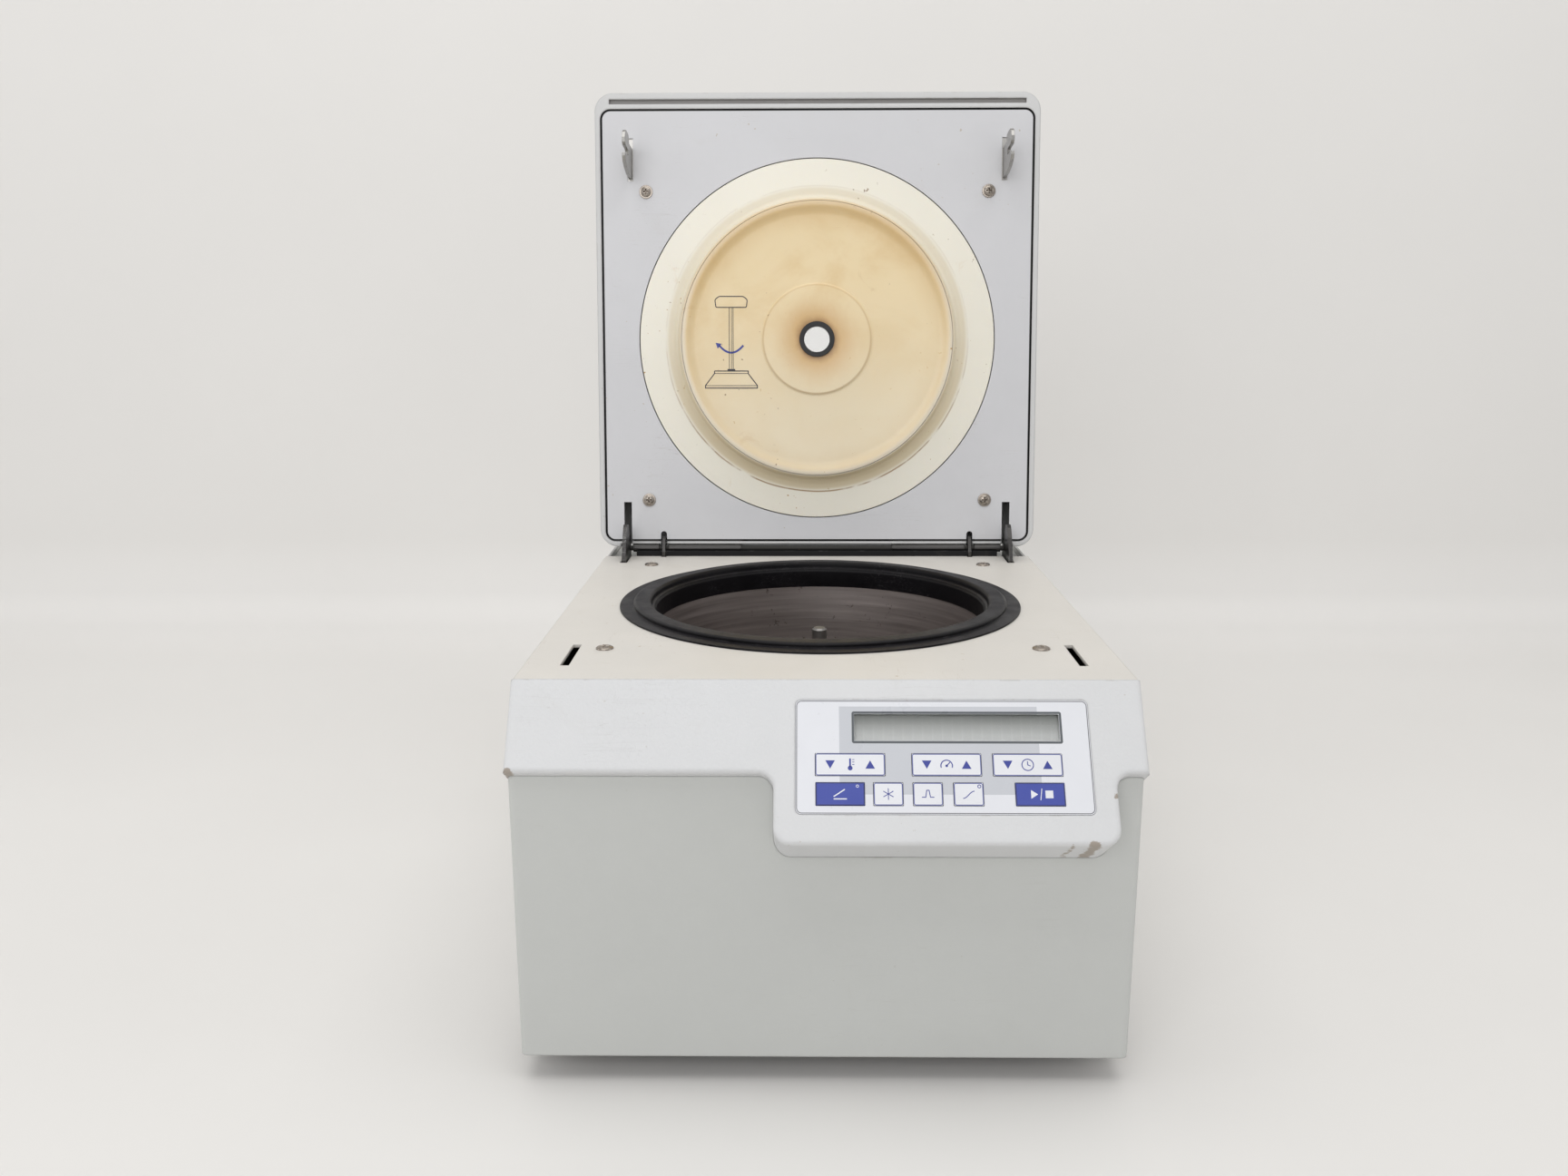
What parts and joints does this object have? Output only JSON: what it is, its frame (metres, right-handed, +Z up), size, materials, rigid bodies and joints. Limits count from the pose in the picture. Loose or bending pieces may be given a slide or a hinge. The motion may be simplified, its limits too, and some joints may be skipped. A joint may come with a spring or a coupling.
{
  "type": "laboratory centrifuge",
  "caption": "Bench-top refrigerated laboratory centrifuge with a hinged lid standing open over a round steel chamber, sloping hood with an offset keypad tab, latch hooks and rubber feet.",
  "frame": {"origin": "middle of the bounding box at bench level, under the feet", "axes": "+Z up, +X to the operator's right, +Y towards the back"},
  "size_m": [0.3442, 0.5432, 0.5798],
  "materials": {
    "tray_paint": "satin powder paint",
    "foot_rubber": "matt",
    "front_paint": "fine textured paint",
    "side_paint": "fine textured paint",
    "hood_paint": "fine textured moulding",
    "top_paint": "satin paint, lightly worn",
    "hinge_black": "satin black",
    "bracket_steel": "zinc plated",
    "rod_steel": "ground",
    "hook_steel": "plated",
    "overlay_film": "satin printed film",
    "key_white": "satin",
    "key_blue": "satin",
    "window_clear": "clear",
    "screen_grey": "liquid crystal",
    "board_green": "varnished laminate",
    "bowl_steel": "spun stainless steel",
    "gasket_rubber": "satin black",
    "foam": "cellular foam",
    "copper": "dull copper",
    "motor_cast": "cast",
    "shaft_steel": "turned",
    "rotor_iron": "laminated",
    "compressor_black": "gloss black",
    "condenser_metal": "finned",
    "fan_black": "moulded",
    "module_metal": "extruded",
    "inlet_black": "moulded",
    "pin_metal": "plated",
    "solenoid_metal": "plated",
    "screw_nickel": "nickel plated",
    "lid_paint": "fine textured moulding",
    "lid_plate_paint": "satin paint",
    "liner_cream": "satin, yellowed",
    "grommet_black": "matt",
    "port_clear": "clear"
  },
  "bodies": {
    "casing": {"base_tray": "tray_paint", "feet": "foot_rubber", "motor_mounts": "foot_rubber", "compressor_mounts": "foot_rubber", "front_panel": "front_paint", "left_side_panel": "side_paint", "right_side_panel": "side_paint", "rear_panel": "side_paint", "rear_deck": "side_paint", "control_hood": "hood_paint", "top_plate": "top_paint", "hinge_channel": "hinge_black", "outer_hinge_brackets": "bracket_steel", "inner_hinge_plates": "bracket_steel", "latch_housings": "bracket_steel", "hinge_rod": "rod_steel", "motor_bearings": "rod_steel", "keypad_overlay": "overlay_film", "display_window": "window_clear", "display_module": "screen_grey", "control_board": "board_green", "chamber_bowl": "bowl_steel", "bowl_gasket": "gasket_rubber", "bowl_insulation": "foam", "evaporator_coil": "copper", "discharge_pipe": "copper", "motor_housing": "motor_cast", "compressor": "compressor_black", "condenser": "condenser_metal", "fan_shroud": "fan_black", "fan_motor": "fan_black", "power_module": "module_metal", "power_inlet": "inlet_black", "switch_frame": "inlet_black", "inlet_pins": "pin_metal", "latch_solenoid": "solenoid_metal", "top_plate_screws": "screw_nickel", "panel_screws": "screw_nickel"},
    "lid": {"lid_shell": "lid_paint", "lid_inner_plate": "lid_plate_paint", "lid_liner": "liner_cream", "lid_insulation": "foam", "port_grommet": "grommet_black", "port_window": "port_clear", "lid_hooks": "hook_steel", "lid_screws": "screw_nickel", "lid_hinge_leaves": "bracket_steel"},
    "drive": {"drive_shaft": "shaft_steel", "motor_rotor": "rotor_iron"},
    "fan": {"fan_rotor": "fan_black"},
    "latch": {"latch_slide": "bracket_steel"},
    "mains_rocker": {"switch_rocker": "inlet_black"},
    "open_key": {"open_key": "key_blue"},
    "fast_cool_key": {"fast_cool_key": "key_white"},
    "short_key": {"short_key": "key_white"},
    "soft_key": {"soft_key": "key_white"},
    "start_stop_key": {"start_stop_key": "key_blue"},
    "temp_key": {"temp_key": "key_white"},
    "speed_key": {"speed_key": "key_white"},
    "time_key": {"time_key": "key_white"}
  },
  "joints": [
    {"name": "lid_hinge", "type": "hinge", "parent": "casing", "child": "lid", "pos_m": [0, 0.12694, 0.23054], "axis": [1, 0, 0], "range_deg": [0, 97]},
    {"name": "shaft_spin", "type": "hinge", "parent": "casing", "child": "drive", "pos_m": [0, -0.0367, 0.16], "axis": [0, 0, 1], "continuous": true},
    {"name": "fan_spin", "type": "hinge", "parent": "casing", "child": "fan", "pos_m": [0.07, 0.22, 0.114], "axis": [0, 1, 0], "continuous": true},
    {"name": "latch_travel", "type": "slide", "parent": "casing", "child": "latch", "axis": [0, 1, 0], "range_m": [0, 0.01]},
    {"name": "mains_rocker_tilt", "type": "hinge", "parent": "casing", "child": "mains_rocker", "pos_m": [-0.12, 0.261, 0.1], "axis": [1, 0, 0], "range_deg": [-12.7, 0]},
    {"name": "open_key_press", "type": "slide", "parent": "casing", "child": "open_key", "axis": [0, 0.8251, -0.565], "range_m": [0, 0.0004], "stiffness_N_per_m": 900},
    {"name": "fast_cool_key_press", "type": "slide", "parent": "casing", "child": "fast_cool_key", "axis": [0, 0.8251, -0.565], "range_m": [0, 0.0004], "stiffness_N_per_m": 900},
    {"name": "short_key_press", "type": "slide", "parent": "casing", "child": "short_key", "axis": [0, 0.8251, -0.565], "range_m": [0, 0.0004], "stiffness_N_per_m": 900},
    {"name": "soft_key_press", "type": "slide", "parent": "casing", "child": "soft_key", "axis": [0, 0.8251, -0.565], "range_m": [0, 0.0004], "stiffness_N_per_m": 900},
    {"name": "start_stop_key_press", "type": "slide", "parent": "casing", "child": "start_stop_key", "axis": [0, 0.8251, -0.565], "range_m": [0, 0.0004], "stiffness_N_per_m": 900},
    {"name": "temp_key_rock", "type": "hinge", "parent": "casing", "child": "temp_key", "pos_m": [0.0129, -0.24856, 0.18725], "axis": [0, -0.565, -0.8251], "range_deg": [-1.2, 1.2], "stiffness_Nm_per_rad": 0.6},
    {"name": "speed_key_rock", "type": "hinge", "parent": "casing", "child": "speed_key", "pos_m": [0.063, -0.24856, 0.18725], "axis": [0, -0.565, -0.8251], "range_deg": [-1.2, 1.2], "stiffness_Nm_per_rad": 0.6},
    {"name": "time_key_rock", "type": "hinge", "parent": "casing", "child": "time_key", "pos_m": [0.105, -0.24856, 0.18725], "axis": [0, -0.565, -0.8251], "range_deg": [-1.2, 1.2], "stiffness_Nm_per_rad": 0.6}
  ]
}
